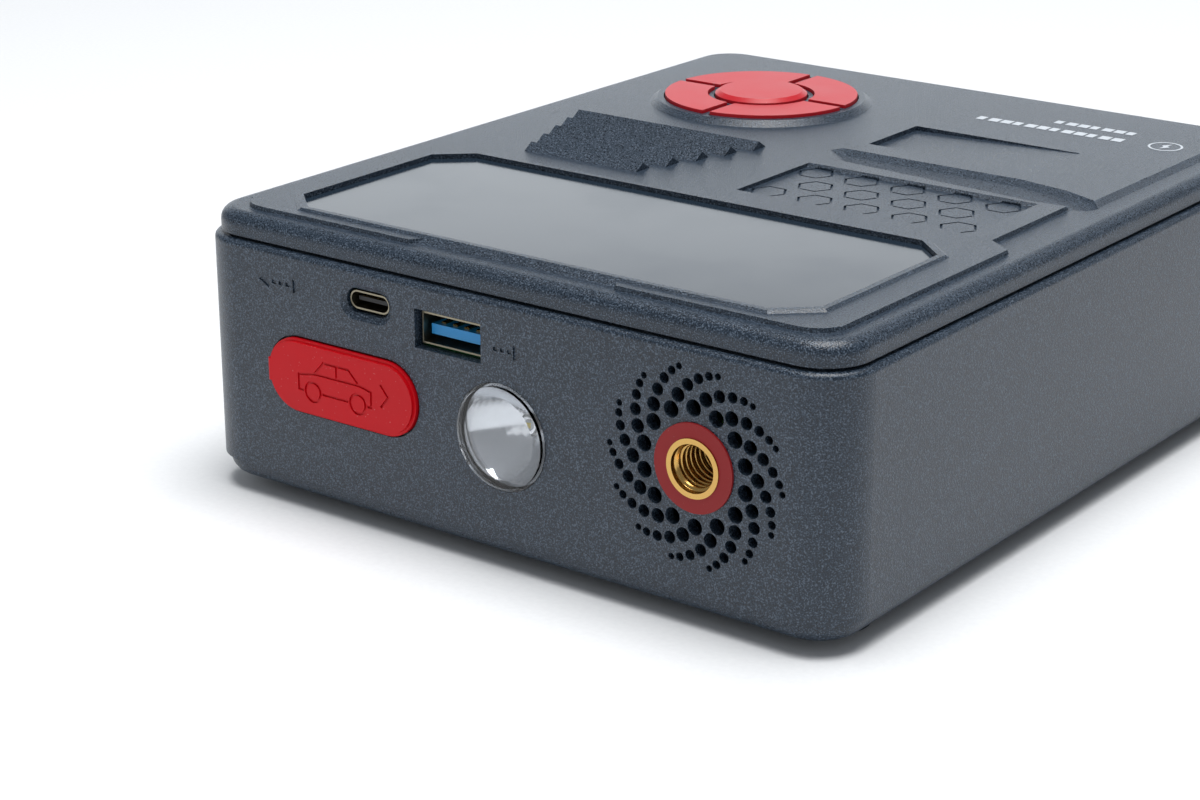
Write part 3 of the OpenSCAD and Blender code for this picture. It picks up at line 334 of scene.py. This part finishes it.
# LED: a half ball of clear resin over a square yellow chip
led = {"dome": 1.5, "lift": 0.02, "rings": 14, "round": 40, "chip": 0.7, "chipLift": 0.03}
low, high, mid = boxOf("torch_led")
rise = np.linspace(0, np.pi / 2, led["rings"])[:, None]
turn = circle(led["round"])[None, :]
dome = turned(mid, low[1] - led["lift"] - led["dome"] * np.sin(rise), led["dome"] * np.cos(rise), turn)
mesh("led_dome", dome, wrapped(led["rings"], led["round"]),
     mats["clear_lens"], "housing", True)
corners = np.array([(-1, -1), (1, -1), (1, 1), (-1, 1)]) * led["chip"]
chip = [(mid[0] + dx, low[1] - led["chipLift"], mid[2] + dz) for dx, dz in corners]
mesh("led_chip", chip, [(0, 1, 2, 3)], mats["phosphor"], "housing")
print("torch LED made")

# White print on the lid: a bolt in a ring, and two rows of plain bars, every third bar short
emblem = {"z": 52.63, "centre": (52.0, 56.6), "r": 3.3, "line": 0.45, "round": 48,
          "bolt": [(-0.9, 0.3), (-0.2, -0.4), (-0.5, -2.1), (0.9, -0.2), (0.2, 0.5), (0.5, 2.2)]}
bars = {"wide": 0.82, "short": 0.62, "rows": [{"x": (12.0, 44.0), "y": 54.6, "height": 2.4, "count": 12},
                                              {"x": (26.0, 44.0), "y": 60.6, "height": 2.2, "count": 7}]}
turn = circle(emblem["round"])
radii = np.array([emblem["r"] - emblem["line"], emblem["r"]])[:, None]
ring = np.stack([radii * np.cos(turn), radii * np.sin(turn)], -1).reshape(-1, 2)
flat = (ring + emblem["centre"]).tolist()
faces = wrapped(2, emblem["round"])
faces.append(list(range(len(flat), len(flat) + len(emblem["bolt"]))))
flat += (np.array(emblem["bolt"]) + emblem["centre"]).tolist()
for row in bars["rows"]:
    pitch = (row["x"][1] - row["x"][0]) / row["count"]
    i = np.arange(row["count"])[:, None]
    share = np.where(i % 3 == 0, bars["short"], bars["wide"])
    x = row["x"][0] + pitch * (i + share * [0, 1, 1, 0])
    y = row["y"] + row["height"] * np.array([0, 0, 1, 1]) + 0 * x
    faces += (len(flat) + np.arange(x.size)).reshape(-1, 4).tolist()
    flat += np.stack([x, y], -1).reshape(-1, 2).tolist()
mesh("lid_print", [(*point, emblem["z"]) for point in flat], faces, mats["white_ink"], "housing")
print("lid print:", len(faces), "patches")


# Floor, light and camera: places in metres

studio = {"sky": (0.90, 0.945, 1.0), "skyStrength": 0.30, "reach": 3000,
          "paper": ((0.79, 0.80, 0.815), (0.85, 0.86, 0.87))}
lamps = {
    "top_box": {"place": (0.12, -0.06, 1.15), "aim": (0, 0, 0.05), "size": (0.8, 0.7), "watts": 16.5,
                "colour": (1, 1, 1)},
    "back_panel": {"place": (-0.60, 0.95, 0.23), "aim": (0, 0, 0.12), "size": (1.9, 0.44), "watts": 3.7,
                   "colour": (0.92, 0.965, 1)},
    "front_fill": {"place": (-0.2, -1.3, 0.2), "aim": (0, 0, 0.02), "size": (1.6, 0.3), "watts": 1.0,
                   "colour": (1, 1, 1)},
}
view = {"place": (0.27126, -0.40786, 0.18178), "aim": (0.01421, -0.07049, 0.03), "roll": -0.151,
        "sensor": 36, "lens": 81.92}


def paper(p):
    cloth = p.stretch((1, 1, 0)).noise(900, 1.0)
    return {"Base Color": cloth.blend(*studio["paper"]), "Normal": cloth.bump(0.03)}


def facing(place, aim, roll=0.0):
    # -z points from place to aim and x is level, then x and y turn by roll degrees
    back = np.subtract(place, aim)
    back /= np.linalg.norm(back)
    level = np.cross((0, 0, 1), back)
    level /= np.linalg.norm(level)
    tilt = math.radians(roll)
    right = level * math.cos(tilt) + np.cross(back, level) * math.sin(tilt)
    up = np.cross(back, right)
    return Matrix([[right[i], up[i], back[i], place[i]] for i in range(3)] + [[0, 0, 0, 1]])


def placed(name, data, matrix):
    obj = bpy.data.objects.new(name, data)
    bpy.context.scene.collection.objects.link(obj)
    obj.matrix_world = matrix
    return obj


corners = np.array([(-1, -1, 0), (1, -1, 0), (1, 1, 0), (-1, 1, 0)]) * studio["reach"]
floor = mesh("floor", corners, [(0, 1, 2, 3)],
             material("floor_paper", paper, {"Roughness": 0.9, "Specular IOR Level": 0.1}), "housing")

world = bpy.data.worlds.new("studio")
bpy.context.scene.world = world
world.use_nodes = True
sky = world.node_tree.nodes["Background"].inputs
sky["Color"].default_value = (*studio["sky"], 1)
sky["Strength"].default_value = studio["skyStrength"]

for name, lamp in lamps.items():
    light = bpy.data.lights.new(name, "AREA")
    light.shape = "RECTANGLE"
    light.size, light.size_y = lamp["size"]
    light.energy, light.color = lamp["watts"], lamp["colour"]
    placed(name, light, facing(lamp["place"], lamp["aim"]))

camera = bpy.data.cameras.new("camera")
camera.sensor_width, camera.lens = view["sensor"], view["lens"]
camera.clip_start, camera.clip_end = 0.01, 20
eye = placed("camera", camera, facing(view["place"], view["aim"], view["roll"]))
bpy.context.scene.camera = eye
bpy.context.scene.view_settings.view_transform = "Standard"
print("stage set:", len(lamps), "lamps")
